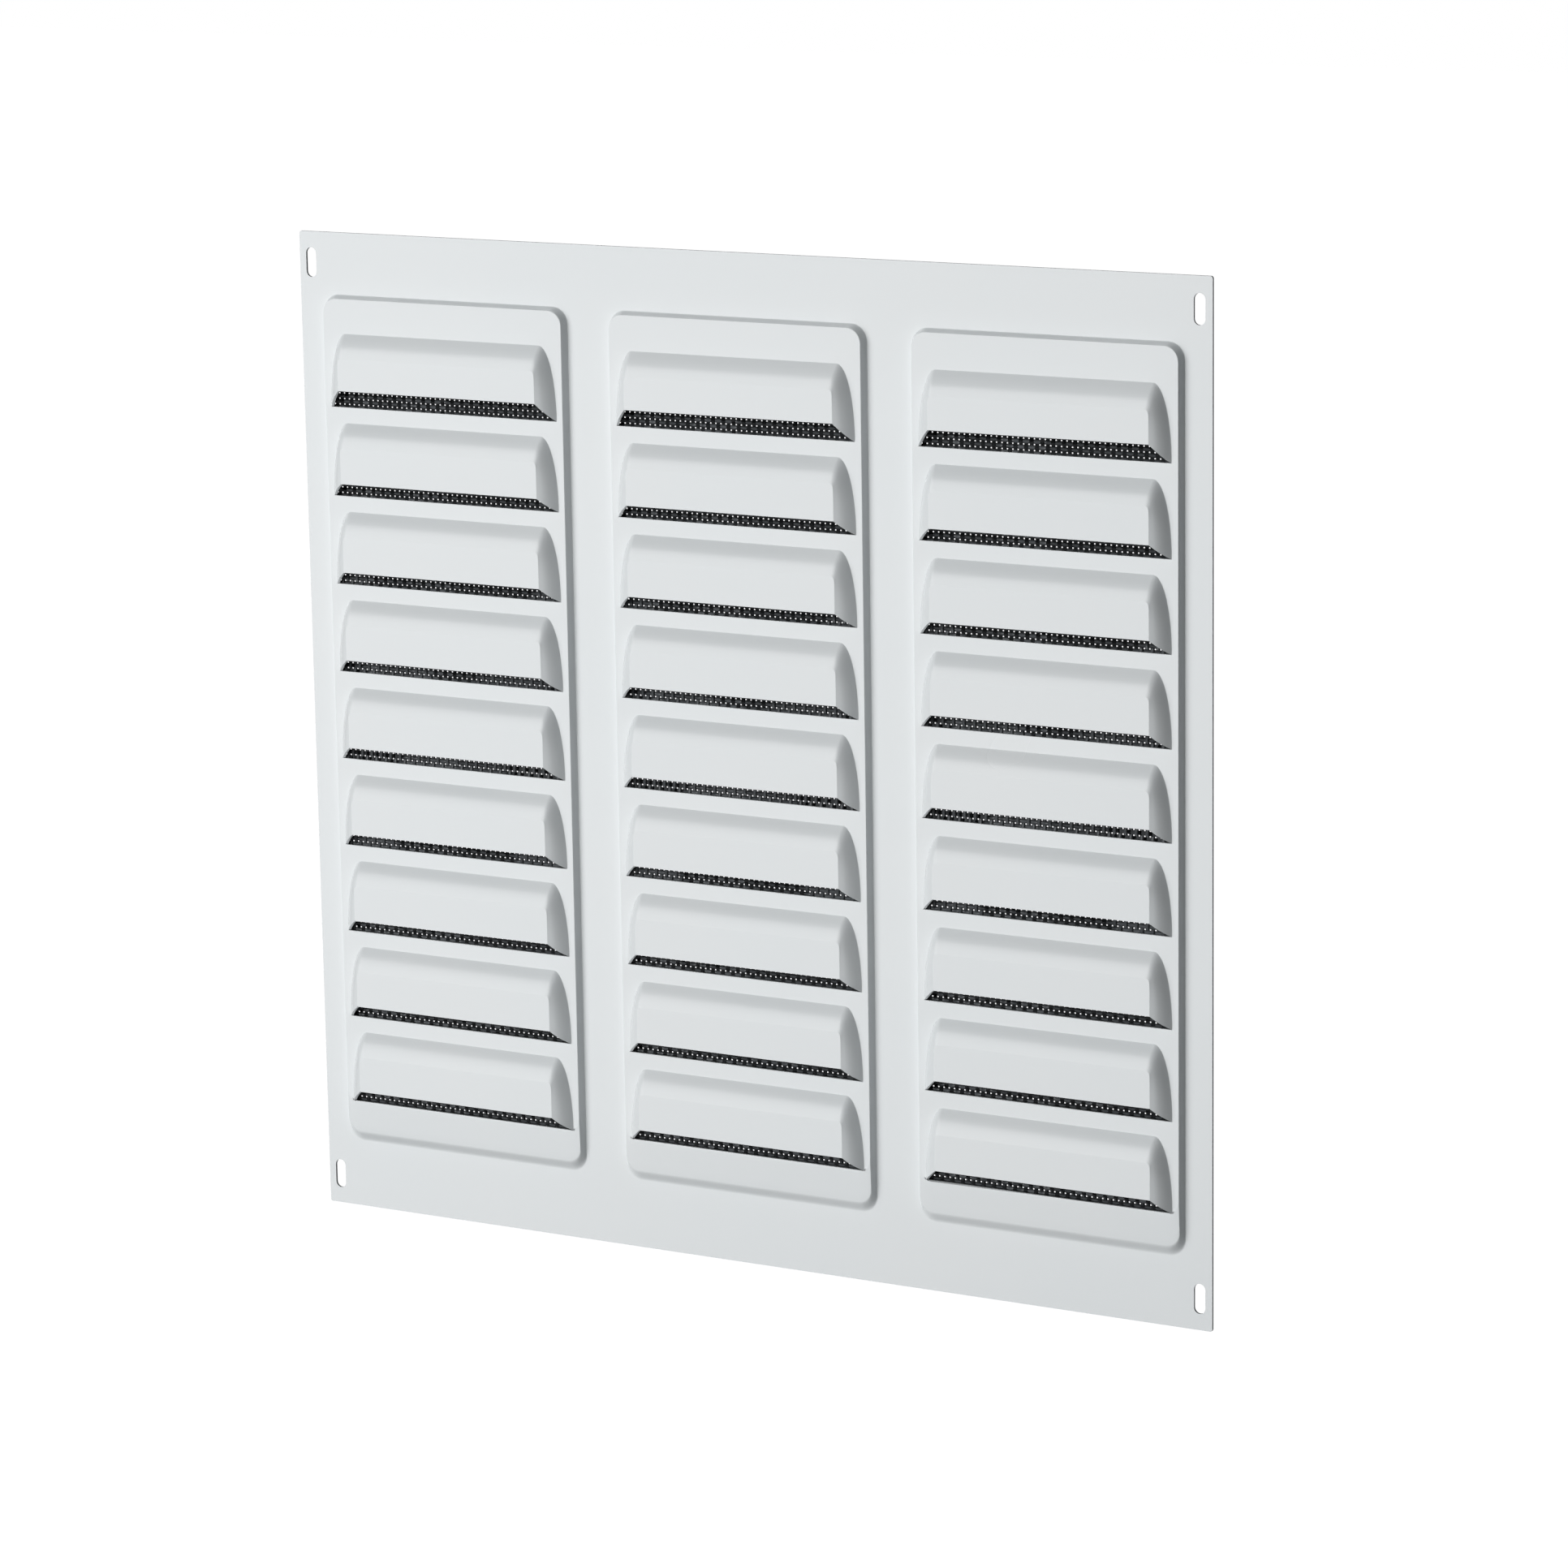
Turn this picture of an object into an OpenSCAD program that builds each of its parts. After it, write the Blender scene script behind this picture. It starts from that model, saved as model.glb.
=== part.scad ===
// Louvred vent grille: one pressed and painted steel sheet with three raised
// panels, nine hoods a panel, and an insect screen bonded behind each panel.
// X runs across, Z up, and the front faces -Y. The origin is the middle of
// the flange's back, which lies on the wall.

/* [Sheet] */
// Width of the flange
plate_w = 325; // [324:0.5:345]
// Height of the flange
plate_h = 325; // [322:0.5:345]
// Thickness of the steel with its paint
sheet_t = 0.8; // [0.6:0.05:1]
// Radius of the flange's four corners
corner_r = 0.8; // [0.4:0.1:4]

/* [Raised panels] */
// Flat margin beside the outer panels
side_margin = 8; // [7:0.1:9]
// Flat strip between two panels
panel_gap = 13.5; // [12:0.1:15]
// Flat margin above the panels
top_margin = 19; // [17:0.5:21]
// How far a panel stands out from the flange
panel_rise = 2.6; // [2.2:0.1:3.2]
// Radius of a panel's corners at its foot
panel_corner_r = 6; // [4:0.5:8]
// Depth in plan of a panel's side and top walls
wall_plan = 2.2; // [1.6:0.1:2.6]
// Height of the rounded roll at a panel's lower end
roll_plan = 4.4; // [3.6:0.1:5.2]
// Height of the sloping apron over that roll
apron_plan = 9.8; // [9:0.1:10.6]
// Flat strip between the lowest slot and the apron
sill_plan = 0.6; // [0.5:0.1:2]

/* [Hoods] */
// Distance from one hood to the next
row_pitch = 29; // [28.5:0.1:29.4]
// Lower edge of the top slot, measured down from the flange's top edge
first_slot = 56.2; // [55.6:0.1:58]
// Flat strip between a panel's foot line and the end of a hood
hood_margin = 4.2; // [3.8:0.1:5]
// Depth in plan of the cap that closes a hood's end
cap_plan = 5.6; // [5:0.1:7]
// Height of a hood from its top line to its lip
hood_h = 19.4; // [18:0.1:20]
// Height of the sloping shoulder above the flat face
shoulder_h = 7.6; // [6:0.1:9]
// How far the face stands out from the panel
hood_rise = 4.4; // [3.6:0.1:5]
// Clear height of the slot under a lip
slot_gap = 4.6; // [4:0.1:5]
// How much higher the lips of the top row are trimmed
top_lip_trim = 1.3; // [0:0.1:2]
// Run of the rounded top corner of a hood, seen from the front
corner_run = 6.2; // [5.9:0.1:7.5]
// Cut of the two top corners of a hood's face
face_corner = 1.6; // [1:0.1:2.4]

/* [Screw slots] */
// Width of a slot
screw_slot_w = 3.8; // [3.4:0.1:4.2]
// Length of a slot, end to end
screw_slot_l = 9.6; // [8:0.1:11]
// Slot's middle from the flange's side edge
screw_edge_x = 4.3; // [4:0.1:4.5]
// Slot's middle from the flange's top or bottom edge
screw_edge_z = 10; // [9:0.5:11]

/* [Insect screen] */
// Play between a screen strip and the sheet beside it, filled by the glue
screen_play = 0.65; // [0.55:0.05:0.9]
// Thickness of the net over its crossings
screen_t = 1; // [0.8:0.05:1.2]
// Side of an open mesh
mesh_gap = 1.6; // [1.2:0.1:2]

/* [Hidden] */
COLUMNS = [-1, 0, 1];
COLUMN_NAMES = ["left", "middle", "right"];
eps = 0.01;
paint = [0.9, 0.915, 0.925];
net_grey = [0.2, 0.21, 0.22];
glue_white = [0.86, 0.84, 0.76];
// shares of the rise, side wall, roll and apron at each step up a panel
PANEL_STEPS = [
    [0, 0, 0, 0],
    [0.05, 0.14, 0.2, 0],
    [0.27, 0.31, 0.45, 0],
    [0.58, 0.53, 0.75, 0],
    [0.7, 0.64, 1, 0],
    [0.92, 0.82, 1, 0.72],
    [1, 1, 1, 1]
];
// shares of a hood's run and rise at each step up it
HOOD_STEPS = [[0, 0], [0.12, 0.06], [0.82, 0.9], [1, 1]];
// what the inner skin gains sideways at a bend of the sheet
bend_in = sheet_t * 0.45;
panel_w = (plate_w - 2 * side_margin - 2 * panel_gap) / 3;
panel_pitch = panel_w + panel_gap;
hood_w = panel_w - 2 * hood_margin;
face_w = hood_w - 2 * cap_plan;
screen_w = panel_w - 2 * (wall_plan + bend_in + screen_play);
// as many rows as the height holds above the sill, apron and bottom margin
row_space = plate_h - first_slot - sill_plan - apron_plan - roll_plan - 14;
ROWS = 1 + floor(row_space / row_pitch);
panel_top = plate_h / 2 - top_margin;
last_slot = plate_h / 2 - first_slot - (ROWS - 1) * row_pitch;
panel_bottom = last_slot - sill_plan - apron_plan - roll_plan;
panel_face = sheet_t + panel_rise;
screen_top = panel_top - wall_plan - bend_in - 1.4;
lap = 2;
screen_bottom = last_slot - lap;
screen_h = screen_top - screen_bottom;
rib = 0.9;
trim = 5;
glue_end = trim + 1.5;
glue_run = screen_h - 2 * glue_end;
net_web = screen_t * 0.4;
net_rib = screen_t * 0.3;

// height of a row's slot edge on the flange
function slot_edge(row) = plate_h / 2 - first_slot - row * row_pitch;

// corner of an outline: middle, radius, first angle and height
function corner(x, y, r, a, z) = [
    for (i = [0:4]) [x + r * cos(a + i * 22.5), y + r * sin(a + i * 22.5), z]
];

// rounded outline between four edges at one height
function outline(x1, y0, y1, r, z) = concat(
    corner(x1 - r, y0 + r, r, 270, z),
    corner(x1 - r, y1 - r, r, 0, z),
    corner(r - x1, y1 - r, r, 90, z),
    corner(r - x1, y0 + r, r, 180, z)
);

// outline of a panel at one of its steps
function panel_ring(s, inset, z) = outline(
    panel_w / 2 - inset - s[1] * wall_plan,
    panel_bottom + inset + s[2] * roll_plan + s[3] * apron_plan,
    panel_top - inset - s[1] * wall_plan,
    panel_corner_r - 0.6 * s[1] * wall_plan,
    z
);

// half outline of a hood at one step, from its free end up to the top line:
// it springs from the slot's lower edge, and its lip is drawn up from there
function hood_side(u, inset, edge, lip, top, z) =
    let (
        low = edge + (lip - edge) * min(1, u / 0.82),
        high = top - inset + (inset - shoulder_h) * u
    )
    [
        for (a = [0:15:90])
            let (
                cut = a < 90 ? [0, face_corner] : [face_corner, 0],
                foot_x = hood_w / 2 - inset - corner_run * (1 - cos(a)),
                face_x = face_w / 2 - inset - cut[0]
            )
            [foot_x + (face_x - foot_x) * u, low + (high - low - cut[1] * u) * sin(a), z]
    ];

// full outline of a hood at one step
function hood_ring(u, inset, edge, lip, top, z) =
    let (side = hood_side(u, inset, edge, lip, top, z), n = len(side) - 1)
    concat(side, [for (i = [n:-1:0]) [-side[i][0], side[i][1], z]]);

// solid skinned over a stack of outlines with equal point counts
module skin(rings) {
    n = len(rings[0]);
    last = len(rings) - 1;
    points = [for (ring = rings) each ring];
    sides = [
        for (k = [0:last - 1], i = [0:n - 1])
            let (a = k * n + i, b = k * n + (i + 1) % n)
            each [[a, a + n, b + n], [a, b + n, b]]
    ];
    foot = [for (i = [0:n - 1]) i];
    head = [for (i = [n - 1:-1:0]) last * n + i];
    polyhedron(points = points, faces = concat([foot], sides, [head]));
}

// one raised panel, from a foot height, as its outer or its inner skin
module panel_form(foot, base, inset) {
    first = [panel_ring(PANEL_STEPS[0], inset, foot)];
    steps = [for (s = PANEL_STEPS) panel_ring(s, inset, base + s[0] * panel_rise)];
    skin(concat(first, steps));
}

// one hood over its slot, as its outer skin with a lip of a given height, or
// as its inner skin, which opens the slot too
module hood_form(row, foot, base, inset, gap) {
    edge = slot_edge(row);
    lip = edge + gap;
    top = edge + slot_gap + hood_h;
    first = [hood_ring(0, inset, edge, lip, top, foot)];
    steps = [
        for (s = HOOD_STEPS)
            hood_ring(s[0], inset, edge, lip, top, base + s[1] * hood_rise)
    ];
    skin(concat(first, steps));
}

// outer skin of the pressed sheet, as a solid
module pressed_front() {
    skin([for (z = [0, sheet_t]) outline(plate_w / 2, -plate_h / 2, plate_h / 2, corner_r, z)]);
    for (c = COLUMNS) translate([c * panel_pitch, 0, 0]) {
        panel_form(sheet_t / 2, sheet_t, 0);
        for (row = [0:ROWS - 1]) {
            gap = slot_gap + (row == 0 ? top_lip_trim : 0);
            hood_form(row, panel_face - sheet_t / 2, panel_face, 0, gap);
        }
    }
}

// what the pressing leaves hollow behind the sheet, with the slots
module pressed_hollow() {
    for (c = COLUMNS) translate([c * panel_pitch, 0, 0]) {
        panel_form(-1, 0, bend_in);
        for (row = [0:ROWS - 1]) hood_form(row, panel_rise - 0.2, panel_rise, bend_in, 0);
    }
}

// one vertical screw slot, clear through the flange
module screw_slot() {
    run = screw_slot_l - screw_slot_w;
    for (y = [-run / 2, run / 2]) {
        translate([0, y, -1]) cylinder(d = screw_slot_w, h = sheet_t + 2, $fn = 32);
    }
    translate([-screw_slot_w / 2, -run / 2, -1]) cube([screw_slot_w, run, sheet_t + 2]);
}

module louvre_plate() {
    color(paint)
    rotate([90, 0, 0])
    difference() {
        resize([plate_w, plate_h, 0])
        difference() {
            pressed_front();
            pressed_hollow();
        }
        for (x = [-1, 1], y = [-1, 1]) {
            translate([x * (plate_w / 2 - screw_edge_x), y * (plate_h / 2 - screw_edge_z), 0])
            screw_slot();
        }
    }
}

// outline of a screen strip, with its corners trimmed to clear the bends
module screen_outline() {
    x = screen_w / 2;
    polygon([
        [-x + trim, 0],
        [x - trim, 0],
        [x, trim],
        [x, screen_h - trim],
        [x - trim, screen_h],
        [-x + trim, screen_h],
        [-x, screen_h - trim],
        [-x, trim]
    ]);
}

// one strip of net: a web with upright ribs in front, which stop where the
// apron falls away, and level ribs behind
module insect_screen() {
    uprights = 13;
    levels = 2 * ROWS;
    dx = (screen_w - rib) / (uprights - 1);
    dy = (screen_h - rib) / (levels - 1);
    translate([0, screen_bottom, panel_rise - screen_t])
    intersection() {
        linear_extrude(height = screen_t) screen_outline();
        union() {
            difference() {
                translate([-screen_w / 2, 0, net_rib]) cube([screen_w, screen_h, net_web]);
                for (row = [0:ROWS - 1], k = [0:3]) {
                    x = (k - 1.5) * 3 * dx;
                    y = slot_edge(row) - screen_bottom + slot_gap / 2;
                    translate([x - mesh_gap / 2, y - mesh_gap / 2, 0]) cube([mesh_gap, mesh_gap, screen_t]);
                }
            }
            for (i = [0:uprights - 1]) {
                translate([-screen_w / 2 + i * dx, lap, net_rib + net_web])
                cube([rib, screen_h - lap, net_rib]);
            }
            for (j = [0:levels - 1]) {
                translate([-screen_w / 2, j * dy, 0]) cube([screen_w, rib, net_rib]);
            }
        }
    }
}

module placed_screen(c) {
    color(net_grey)
    rotate([90, 0, 0])
    translate([c * panel_pitch, 0, 0])
    insect_screen();
}

module insect_screen_left() { placed_screen(-1); }
module insect_screen_middle() { placed_screen(0); }
module insect_screen_right() { placed_screen(1); }

// section of a bead of glue that laps a screen's long edge onto the panel
module glue_section() {
    out = 0.45;
    polygon([
        [0, 0],
        [out, 0],
        [out, screen_t + 0.15],
        [0, screen_t + 0.6],
        [-0.7, screen_t + 0.45],
        [-1.2, screen_t],
        [0, screen_t]
    ]);
}

module screen_glue() {
    color(glue_white)
    rotate([90, 0, 0])
    for (c = COLUMNS, side = [-1, 1]) {
        translate([c * panel_pitch, screen_bottom + glue_end, panel_rise])
        mirror([side < 0 ? 1 : 0, 0, 0])
        translate([screen_w / 2, glue_run, 0])
        rotate([90, 0, 0])
        mirror([0, 1, 0])
        linear_extrude(height = glue_run)
        glue_section();
    }
}

louvre_plate();
insect_screen_left();
insect_screen_middle();
insect_screen_right();
screen_glue();
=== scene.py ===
import math
import bpy
import bmesh
from mathutils import Matrix, Vector


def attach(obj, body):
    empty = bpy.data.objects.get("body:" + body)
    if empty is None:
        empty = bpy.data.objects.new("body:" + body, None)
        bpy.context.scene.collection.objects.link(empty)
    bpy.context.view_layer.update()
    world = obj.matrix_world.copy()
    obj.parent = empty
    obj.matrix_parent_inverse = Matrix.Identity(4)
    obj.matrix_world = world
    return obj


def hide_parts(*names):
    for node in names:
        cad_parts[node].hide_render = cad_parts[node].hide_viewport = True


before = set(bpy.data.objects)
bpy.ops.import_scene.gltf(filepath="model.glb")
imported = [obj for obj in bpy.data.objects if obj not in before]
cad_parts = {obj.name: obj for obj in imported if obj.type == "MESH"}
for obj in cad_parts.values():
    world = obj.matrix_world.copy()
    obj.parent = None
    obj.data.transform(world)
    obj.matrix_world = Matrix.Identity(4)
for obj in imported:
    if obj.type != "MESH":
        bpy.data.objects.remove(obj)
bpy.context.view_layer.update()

# Louvre plate
# One sheet of 0.8 mm steel, pressed into three raised panels of nine hoods,
# pierced under each hood and at the corners, and powder coated white.
# It is drawn as the sheet's outer skin, lofted bend by bend, then thickened.

mm = 0.001
plate_w = 325.0
plate_h = 325.0
sheet_t = 0.8
corner_r = 0.8
side_margin = 8.0
panel_gap = 13.5
panel_w = (plate_w - 2 * side_margin - 2 * panel_gap) / 3
panel_pitch = panel_w + panel_gap
top_margin = 19.0
panel_rise = 2.6
panel_corner_r = 6.0
corner_share = 0.6
wall_plan = 2.2
wall_out = 1.0
roll_out = 0.7
roll_share = 0.88
roll_plan = 4.4
apron_plan = 9.8
sill_plan = 0.6
rows = 9
row_pitch = 29.0
first_slot = 56.2
hood_margin = 4.2
cap_plan = 5.6
hood_w = panel_w - 2 * hood_margin
face_w = hood_w - 2 * cap_plan
hood_h = 19.4
shoulder_h = 7.6
hood_rise = 4.4
slot_gap = 4.6
top_lip_trim = 1.3
corner_run = 6.2
face_corner = 1.6
screw_slot_w = 3.8
screw_slot_l = 9.6
screw_edge_x = 4.3
screw_edge_z = 10.0
spare = 0.15
edge_round = 0.16

front = sheet_t
panel_face = sheet_t + panel_rise
hood_face = panel_face + hood_rise
panel_top = plate_h / 2 - top_margin
last_slot = plate_h / 2 - first_slot - (rows - 1) * row_pitch
panel_bottom = last_slot - sill_plan - apron_plan - roll_plan


def thread(mesh, points, closed=True):
    """Lays a line of edges through points and returns the edges."""
    corners = [mesh.verts.new(p) for p in points]
    ends = corners[1:] + (corners[:1] if closed else [])
    return [mesh.edges.new(pair) for pair in zip(corners, ends)]


def loft(mesh, rings, closed=True):
    """Carries each outline on to the next by extrusion, as the sheet runs through a bend."""
    lines = [thread(mesh, rings[0], closed)]
    corners = list(mesh.verts)[-len(rings[0]):]
    for ring in rings[1:]:
        made = bmesh.ops.extrude_edge_only(mesh, edges=lines[-1])
        fresh = {g for g in made["geom"] if isinstance(g, bmesh.types.BMVert)}
        corners = [next(e.other_vert(v) for e in v.link_edges if e.other_vert(v) in fresh)
                   for v in corners]
        for corner, place in zip(corners, ring):
            corner.co = place
        ends = corners[1:] + (corners[:1] if closed else [])
        lines.append([mesh.edges.get(pair) for pair in zip(corners, ends)])
    return lines


def hood_steps(count=9):
    """Run and rise shares up a hood: a small foot radius, then a convex sweep to the face."""
    steps = [(0, 0), (0.012, 0.006), (0.03, 0.028)]
    for k in range(1, count):
        u = 0.03 + 0.93 * k / count
        steps.append((u, 1.75 * u - 0.75 * u * u - 0.025))
    return steps + [(0.98, 0.99), (1, 1)]


def outline(x1, y0, y1, r, z, steps=8):
    """Rounded rectangle between -x1 and x1, y0 and y1."""
    centres = [(x1 - r, y0 + r, 270), (x1 - r, y1 - r, 0),
               (r - x1, y1 - r, 90), (r - x1, y0 + r, 180)]
    points = []
    for x, y, start in centres:
        for k in range(steps + 1):
            a = math.radians(start + 90 * k / steps)
            points.append((x + r * math.cos(a), y + r * math.sin(a), z))
    return points


def shifted(points, x):
    """Moves an outline across to its panel."""
    return [(p[0] + x, p[1], p[2]) for p in points]


def wall_run(rise):
    """Run share of a panel's side wall at a share of its rise."""
    return 0.5 - math.sin(math.asin(max(-1, min(1, 1 - 2 * rise))) / 3)


def foot_steps():
    """Rise shares and runs in mm up a panel's lower end: the roll, then the flat apron."""
    fall = (1 - roll_share) * (roll_plan - roll_out) / (apron_plan * roll_share)
    steps = []
    for k in range(13):
        q = k / 12
        rise = roll_share * (3 * q * q - 2 * q ** 3 + fall * (q ** 3 - q * q))
        steps.append((rise, roll_out + (roll_plan - roll_out) * q))
    for q in (0.2, 0.4, 0.6, 0.8, 0.93, 1):
        steps.append((roll_share + (1 - roll_share) * q, roll_plan + apron_plan * q))
    return steps


def panel_ring(side, bottom, z, x):
    """Outline of a panel at one step of its walls, with its corners drawn in as they rise."""
    return shifted(outline(panel_w / 2 - side, bottom, panel_top - side,
                           panel_corner_r - corner_share * side, z), x)


def panel_rings(x):
    """Outlines up a panel's wall, with a spare ring on the flat at each end."""
    # the foot's spare ring keeps an even distance from the wall at its corners too
    foot = outline(panel_w / 2 - wall_out + spare, panel_bottom + roll_out - spare,
                   panel_top - wall_out + spare,
                   panel_corner_r - corner_share * wall_out + spare, front)
    rings = [shifted(foot, x)]
    for rise, run in foot_steps():
        side = wall_out + (wall_plan - wall_out) * wall_run(rise)
        rings.append(panel_ring(side, panel_bottom + run, front + panel_rise * rise, x))
    head = panel_bottom + roll_plan + apron_plan + spare
    return rings + [panel_ring(wall_plan + spare, head, panel_face, x)]


def hood_line(run, edge, lip, top, z, x, grow=0.0, steps=18):
    """Outline of a hood at one step of its bend: it springs from both ends of
    the slot's cut edge and ends along the drawn-up lip. Grown, it is a spare one."""
    r = face_corner
    half = []
    for k in range(steps + 1):
        a = math.radians(90 * k / steps)
        foot = Vector((hood_w / 2 - corner_run + (corner_run + grow) * math.cos(a),
                       edge + (top - edge + grow) * math.sin(a), z))
        w = k / steps
        if w < 0.7:
            b = w / 0.7 * math.pi / 2
            head = Vector((face_w / 2 - grow, lip + (top - lip - shoulder_h - r) * math.sin(b), z))
        else:
            b = (w - 0.7) / 0.3 * math.pi / 2
            head = Vector((face_w / 2 - r + (r - grow) * math.cos(b),
                           top - shoulder_h - r + (r - grow) * math.sin(b), z))
        if grow and run == 1:
            half.append(head)
        else:
            half.append(foot.lerp(head, run))
    left = [Vector((-p.x, p.y, p.z)) for p in reversed(half)]
    return [(p.x + x, p.y, p.z) for p in half + left]


def free_end(line, at):
    """The loose end vertex of an open line of edges."""
    end, nearer = (line[0], line[1]) if at == 0 else (line[-1], line[-2])
    return end.verts[0] if end.verts[0] not in nearer.verts else end.verts[1]


def flat_fill(mesh, z):
    """Fills the flat of the sheet at one height, round all that rises from it."""
    rim = [e for e in mesh.edges if len(e.link_faces) < 2
           and all(abs(v.co.z - z) < 1e-4 for v in e.verts)]
    bmesh.ops.triangle_fill(mesh, use_beauty=True, use_dissolve=False, edges=rim, normal=(0, 0, 1))


def screw_slot_line(mesh, x, y):
    """An upright slot with round ends, cut clear through the flange."""
    r = screw_slot_w / 2
    run = (screw_slot_l - screw_slot_w) / 2
    points = []
    for k in range(13):
        a = math.radians(180 * k / 12)
        points.append((x + r * math.cos(a), y + run + r * math.sin(a), front))
    for k in range(13):
        a = math.radians(180 + 180 * k / 12)
        points.append((x + r * math.cos(a), y - run + r * math.sin(a), front))
    thread(mesh, points)


sheet = bmesh.new()
thread(sheet, outline(plate_w / 2, -plate_h / 2, plate_h / 2, corner_r, front, 6))
for x in (-1, 1):
    for y in (-1, 1):
        screw_slot_line(sheet, x * (plate_w / 2 - screw_edge_x), y * (plate_h / 2 - screw_edge_z))
for column in (-1, 0, 1):
    x = column * panel_pitch
    loft(sheet, panel_rings(x))
    for row in range(rows):
        edge = plate_h / 2 - first_slot - row * row_pitch
        lip = edge + slot_gap + (top_lip_trim if row == 0 else 0)
        top = edge + slot_gap + hood_h
        rings = [hood_line(0, edge, lip, top, panel_face, x, spare)]
        rings += [hood_line(run, edge, lip, top, panel_face + hood_rise * rise, x)
                  for run, rise in hood_steps()]
        rings.append(hood_line(1, edge, lip, top, hood_face, x, spare))
        lines = loft(sheet, rings, closed=False)
        for line in (lines[1], lines[-1]):
            sheet.edges.new((free_end(line, 0), free_end(line, 1)))
for z in (front, panel_face, hood_face):
    flat_fill(sheet, z)
bmesh.ops.recalc_face_normals(sheet, faces=sheet.faces)
sheet.normal_update()
if sum(f.normal.z * f.calc_area() for f in sheet.faces) < 0:
    bmesh.ops.reverse_faces(sheet, faces=sheet.faces)
# the skin gets the sheet's thickness behind it, and its cut edges a small round
bmesh.ops.solidify(sheet, geom=sheet.faces[:], thickness=sheet_t)
bmesh.ops.recalc_face_normals(sheet, faces=sheet.faces)
rim = [e for e in sheet.edges if e.calc_face_angle(0) > 1.0]
bmesh.ops.bevel(sheet, geom=rim, offset=edge_round, offset_type="OFFSET", segments=2,
                profile=0.5, affect="EDGES", material=-1, clamp_overlap=True)


def stood_up(mesh):
    """Stands what was drawn flat in mm upright in the part's frame, front to -Y."""
    upright = Matrix(((mm, 0, 0, 0), (0, 0, -mm, 0), (0, mm, 0, 0), (0, 0, 0, 1)))
    bmesh.ops.transform(mesh, matrix=upright, verts=mesh.verts)


def as_piece(mesh, name, material, smooth=True):
    """Makes a named piece from a mesh and gives it its material."""
    data = bpy.data.meshes.new(name)
    mesh.to_mesh(data)
    mesh.free()
    data.polygons.foreach_set("use_smooth", [smooth] * len(data.polygons))
    data.materials.append(material)
    piece = bpy.data.objects.new(name, data)
    bpy.context.scene.collection.objects.link(piece)
    return piece


def linear(code):
    """An sRGB hex colour as the shader's linear colour."""
    parts = [int(code[k:k + 2], 16) / 255 for k in (0, 2, 4)]
    return [c / 12.92 if c <= 0.04045 else ((c + 0.055) / 1.055) ** 2.4 for c in parts] + [1.0]


def add(tree, kind, settings=None, links=None):
    """Adds a node with its settings and inputs: a value, or a (node, output) link."""
    node = tree.nodes.new(kind)
    for key, value in (settings or {}).items():
        setattr(node, key, value)
    for key, value in (links or {}).items():
        if isinstance(value, tuple) and isinstance(value[0], bpy.types.Node):
            tree.links.new(value[0].outputs[value[1]], node.inputs[key])
        else:
            node.inputs[key].default_value = value
    return node


def finish_named(name, colour, roughness, ior=1.5):
    """Starts a material with its plain colour, roughness and index."""
    material = bpy.data.materials.new(name)
    material.use_nodes = True
    tree = material.node_tree
    shader = tree.nodes["Principled BSDF"]
    shader.inputs["Base Color"].default_value = linear(colour)
    shader.inputs["Roughness"].default_value = roughness
    shader.inputs["IOR"].default_value = ior
    return material, tree, shader


# Polyester powder coat, baked on: satin white, with a faint orange peel whose
# cells are about 2 mm across, and a trace of cloudiness over the sheet.
powder_coat, tree, shader = finish_named("white_powder_coat", "E2E6E7", 0.26)
place = add(tree, "ShaderNodeTexCoord")
peel = add(tree, "ShaderNodeTexNoise", {},
           {"Vector": (place, "Object"), "Scale": 1 / (2.0 * mm), "Detail": 2.0})
cloud = add(tree, "ShaderNodeTexNoise", {},
            {"Vector": (place, "Object"), "Scale": 1 / (60 * mm), "Detail": 3.0})
tint = add(tree, "ShaderNodeMix", {"data_type": "RGBA"}, {0: (cloud, "Fac")})
tint.inputs[6].default_value = linear("DFE4E6")
tint.inputs[7].default_value = linear("E4E7E8")
tree.links.new(tint.outputs[2], shader.inputs["Base Color"])
sheen = add(tree, "ShaderNodeMapRange", {},
            {"Value": (cloud, "Fac"), "To Min": 0.23, "To Max": 0.29})
tree.links.new(sheen.outputs["Result"], shader.inputs["Roughness"])
bump = add(tree, "ShaderNodeBump", {}, {"Height": (peel, "Fac"), "Strength": 0.12, "Distance": 0.03 * mm})
tree.links.new(bump.outputs["Normal"], shader.inputs["Normal"])

stood_up(sheet)
louvre_sheet = as_piece(sheet, "louvre_sheet", powder_coat)
even = louvre_sheet.modifiers.new("flat faces", "WEIGHTED_NORMAL")
even.weight = 80
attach(louvre_sheet, "root")
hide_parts("louvre_plate")

# Insect screens
# A strip of woven plastic net lies against the back of each panel and closes
# its slots. Warp and weft are flat dark-grey strands, over and under in turn.
# They are drawn wider than real ones, to narrow the bright holes between them.

net_w = 87.6
net_lap = 2.0
net_play = 1.4
bend_in = sheet_t * 0.45
net_top = panel_top - wall_plan - bend_in - net_play
net_bottom = last_slot - net_lap
net_thick = 1.0
net_pitch = 1.8
strand_wide = 1.42
strand_thick = 0.5
strand_sides = 4
fold = 0.13
fold_gap = 0.2


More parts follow.
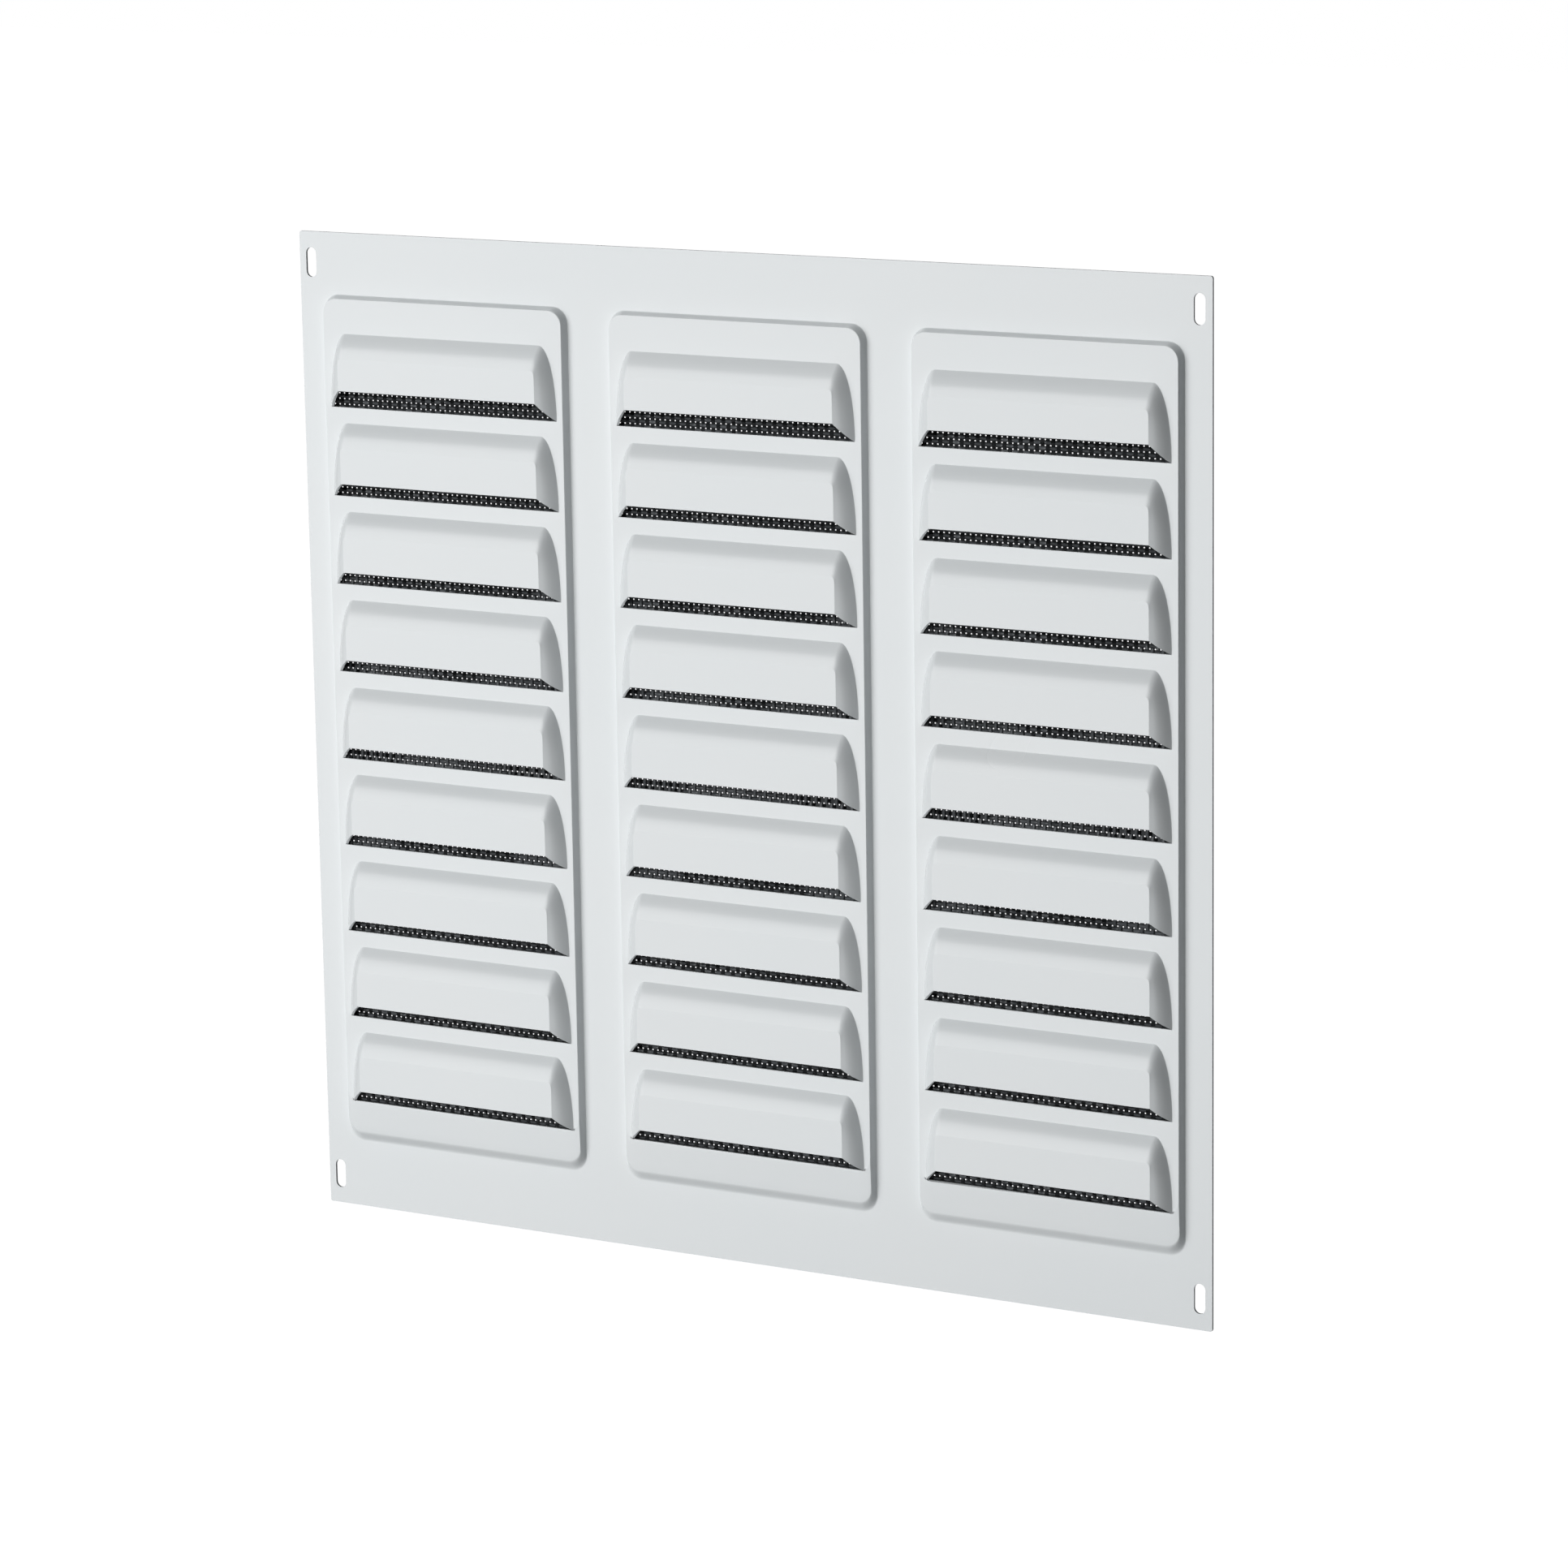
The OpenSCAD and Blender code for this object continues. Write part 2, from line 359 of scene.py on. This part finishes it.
def strand(mesh, length, count, phase):
    """One strand along +Y from the origin that rises and dips at each crossing."""
    made = bmesh.ops.create_circle(mesh, cap_ends=True, segments=strand_sides, radius=0.5)
    bmesh.ops.rotate(mesh, verts=made["verts"], cent=(0, 0, 0),
                     matrix=Matrix.Rotation(math.pi / 2, 3, "X"))
    bmesh.ops.scale(mesh, verts=made["verts"], vec=(strand_wide, 1, strand_thick))
    step = length / (count - 1)
    wave = strand_thick / 2
    bmesh.ops.translate(mesh, verts=made["verts"], vec=(0, 0, wave * phase))
    tip = made["verts"][0].link_faces[0]
    for k in range(1, count):
        out = bmesh.ops.extrude_face_region(mesh, geom=[tip])
        verts = [g for g in out["geom"] if isinstance(g, bmesh.types.BMVert)]
        faces = [g for g in out["geom"] if isinstance(g, bmesh.types.BMFace)]
        bmesh.ops.translate(mesh, verts=verts, vec=(0, step, -2 * wave * phase * (-1) ** (k - 1)))
        tip = faces[0]


def net_mesh(width, height):
    """A plain weave of strands over a strip, drawn flat with its middle at z = 0."""
    net = bmesh.new()
    across = int(width // net_pitch)
    along = int(height // net_pitch)
    dx = (width - strand_wide) / (across - 1)
    dy = (height - strand_wide) / (along - 1)
    for turned in (False, True):
        for phase in (1, -1):
            one = bmesh.new()
            if turned:
                strand(one, width - strand_wide, across, -phase)
                bmesh.ops.rotate(one, verts=one.verts, cent=(0, 0, 0),
                                 matrix=Matrix.Rotation(-math.pi / 2, 3, "Z"))
            else:
                strand(one, height - strand_wide, along, phase)
            data = bpy.data.meshes.new("strand")
            one.to_mesh(data)
            one.free()
            start = 0 if phase == 1 else 1
            for k in range(start, along if turned else across, 2):
                before = len(net.verts)
                net.from_mesh(data)
                net.verts.ensure_lookup_table()
                x = -width / 2 + strand_wide / 2 + (0 if turned else k * dx)
                y = strand_wide / 2 + (k * dy if turned else 0)
                bmesh.ops.translate(net, verts=net.verts[before:], vec=(x, y, 0))
            bpy.data.meshes.remove(data)
    return net


# Polyethylene monofilament: drawn, dark grey, smooth and a little waxy, its
# grey drifting slightly over about 9 mm.
net_plastic, tree, shader = finish_named("dark_grey_polyethylene_net", "4A4D50", 0.42)
place = add(tree, "ShaderNodeTexCoord")
fade = add(tree, "ShaderNodeTexNoise", {},
           {"Vector": (place, "Object"), "Scale": 1 / (9 * mm), "Detail": 2.0})
tint = add(tree, "ShaderNodeMix", {"data_type": "RGBA"}, {0: (fade, "Fac")})
tint.inputs[6].default_value = linear("45484B")
tint.inputs[7].default_value = linear("5C5F62")
tree.links.new(tint.outputs[2], shader.inputs["Base Color"])

net = net_mesh(net_w, net_top - net_bottom)
bmesh.ops.translate(net, verts=net.verts, vec=(0, net_bottom, panel_rise - net_thick / 2))
# the net's lower edge follows the apron back
for v in net.verts:
    v.co.z -= fold * max(0, last_slot - fold_gap - v.co.y)
bmesh.ops.recalc_face_normals(net, faces=net.faces)
stood_up(net)
screen = as_piece(net, "net_middle", net_plastic)
for column, side in ((-1, "left"), (0, "middle"), (1, "right")):
    if column:
        strip = bpy.data.meshes["net_middle"].copy()
        strip.transform(Matrix.Translation((column * panel_pitch * mm, 0, 0)))
        screen = bpy.data.objects.new("net_" + side, strip)
        bpy.context.scene.collection.objects.link(screen)
    else:
        screen = bpy.data.objects["net_middle"]
    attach(screen, "root")
    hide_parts("insect_screen_" + side)

# Screen glue
# Beads of clear hot-melt glue, run by hand along both long edges of each
# strip, hold it in its panel's recess.

# Hot melt, set: milky, waxy and faintly see-through, with ripples 7 mm long.
hot_melt, tree, shader = finish_named("hot_melt_glue", "DAD5C2", 0.3, 1.48)
shader.inputs["Subsurface Weight"].default_value = 0.2
shader.inputs["Subsurface Radius"].default_value = (0.002, 0.002, 0.0015)
place = add(tree, "ShaderNodeTexCoord")
ripple = add(tree, "ShaderNodeTexNoise", {},
             {"Vector": (place, "Object"), "Scale": 1 / (7 * mm), "Detail": 1.5})
bump = add(tree, "ShaderNodeBump", {},
           {"Height": (ripple, "Fac"), "Strength": 0.5, "Distance": 0.6 * mm})
tree.links.new(bump.outputs["Normal"], shader.inputs["Normal"])
glue_end = 6.5
glue_inset = 0.35
glue_sink = 0.1
glue_steps = 150
glue_sides = 10
glue_top = net_top - glue_end
glue_bottom = net_bottom + glue_end


def glue_ring(column, side, k):
    """Outline of a bead at one step up its run, which wanders and tapers at its ends."""
    y = glue_bottom + (glue_top - glue_bottom) * k / glue_steps
    hand = 0.5 + 0.22 * math.sin(0.21 * y + 2 * column + side)
    hand += 0.28 * math.sin(0.083 * y + column - side)
    swell = max(0.25, min(1, 6 * k / glue_steps, 6 * (1 - k / glue_steps)) ** 0.5)
    wide = (0.75 + 0.45 * hand) * swell
    high = (0.4 + 0.2 * hand) * swell
    middle = column * panel_pitch + side * (net_w / 2 - glue_inset)
    back = panel_rise - net_thick + glue_sink
    turns = [2 * math.pi * n / glue_sides for n in range(glue_sides)]
    return [(middle + side * wide * math.cos(a), y, back - high * max(-0.4, math.sin(a)))
            for a in turns]


beads = bmesh.new()
for column in (-1, 0, 1):
    for side in (-1, 1):
        ends = loft(beads, [glue_ring(column, side, k) for k in range(glue_steps + 1)])
        for end in (ends[0], ends[-1]):
            bmesh.ops.contextual_create(beads, geom=end)
bmesh.ops.recalc_face_normals(beads, faces=beads.faces)
stood_up(beads)
glue_beads = as_piece(beads, "glue_beads", hot_melt)
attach(glue_beads, "root")
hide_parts("screen_glue")

# Floor, light and camera
# A plain white floor well below the hanging grille, soft light from the
# front left, and a long lens to the right of the grille and a little above.

floor_size = 20.0
floor_drop = 1.6
ground = bmesh.new()
bmesh.ops.create_grid(ground, x_segments=1, y_segments=1, size=floor_size)
bmesh.ops.translate(ground, verts=ground.verts, vec=(0, 0, -floor_drop))
floor_paint = bpy.data.materials.new("white_floor")
floor_paint.use_nodes = True
tree = floor_paint.node_tree
shader = tree.nodes["Principled BSDF"]
shader.inputs["Base Color"].default_value = linear("BCBCBC")
shader.inputs["Roughness"].default_value = 0.9
path = add(tree, "ShaderNodeLightPath")
seen = add(tree, "ShaderNodeMath", {"operation": "MAXIMUM"},
           {0: (path, "Is Camera Ray"), 1: (path, "Is Transmission Ray")})
shader.inputs["Emission Color"].default_value = (1, 1, 1, 1)
tree.links.new(seen.outputs["Value"], shader.inputs["Emission Strength"])
floor = as_piece(ground, "floor", floor_paint, False)

world = bpy.data.worlds.new("studio")
bpy.context.scene.world = world
world.use_nodes = True
tree = world.node_tree
tree.nodes.clear()
path = add(tree, "ShaderNodeLightPath")
seen = add(tree, "ShaderNodeMath", {"operation": "MAXIMUM"},
           {0: (path, "Is Camera Ray"), 1: (path, "Is Transmission Ray")})
white = add(tree, "ShaderNodeBackground", {}, {"Color": (1, 1, 1, 1), "Strength": 1.0})
soft = add(tree, "ShaderNodeBackground", {}, {"Color": (0.96, 0.98, 1.0, 1), "Strength": 0.04})
both = add(tree, "ShaderNodeMixShader", {}, {"Fac": (seen, "Value")})
tree.links.new(soft.outputs[0], both.inputs[1])
tree.links.new(white.outputs[0], both.inputs[2])
out = add(tree, "ShaderNodeOutputWorld", {}, {"Surface": (both, "Shader")})


def lamp(name, place, target, wide, high, power):
    """A soft box at a place, turned to a target."""
    light = bpy.data.lights.new(name, "AREA")
    light.shape = "RECTANGLE"
    light.size = wide
    light.size_y = high
    light.energy = power
    holder = bpy.data.objects.new(name, light)
    bpy.context.scene.collection.objects.link(holder)
    holder.location = place
    aim = Vector(target) - Vector(place)
    holder.rotation_euler = aim.to_track_quat("-Z", "Y").to_euler()
    return holder


lamp("soft_box_left", (-1.572, -2.956, 0.59), (0, 0, 0), 3.1, 3.9, 129.0)

lens = bpy.data.cameras.new("camera")
lens.lens = 129.86
lens.sensor_width = 36.0
lens.clip_end = 50.0
camera = bpy.data.objects.new("camera", lens)
bpy.context.scene.collection.objects.link(camera)
camera.location = (0.8732, -1.5094, 0.3626)
camera.rotation_euler = [math.radians(a) for a in (78.073, 0.871, 29.47)]
bpy.context.scene.camera = camera
bpy.context.scene.view_settings.view_transform = "Standard"
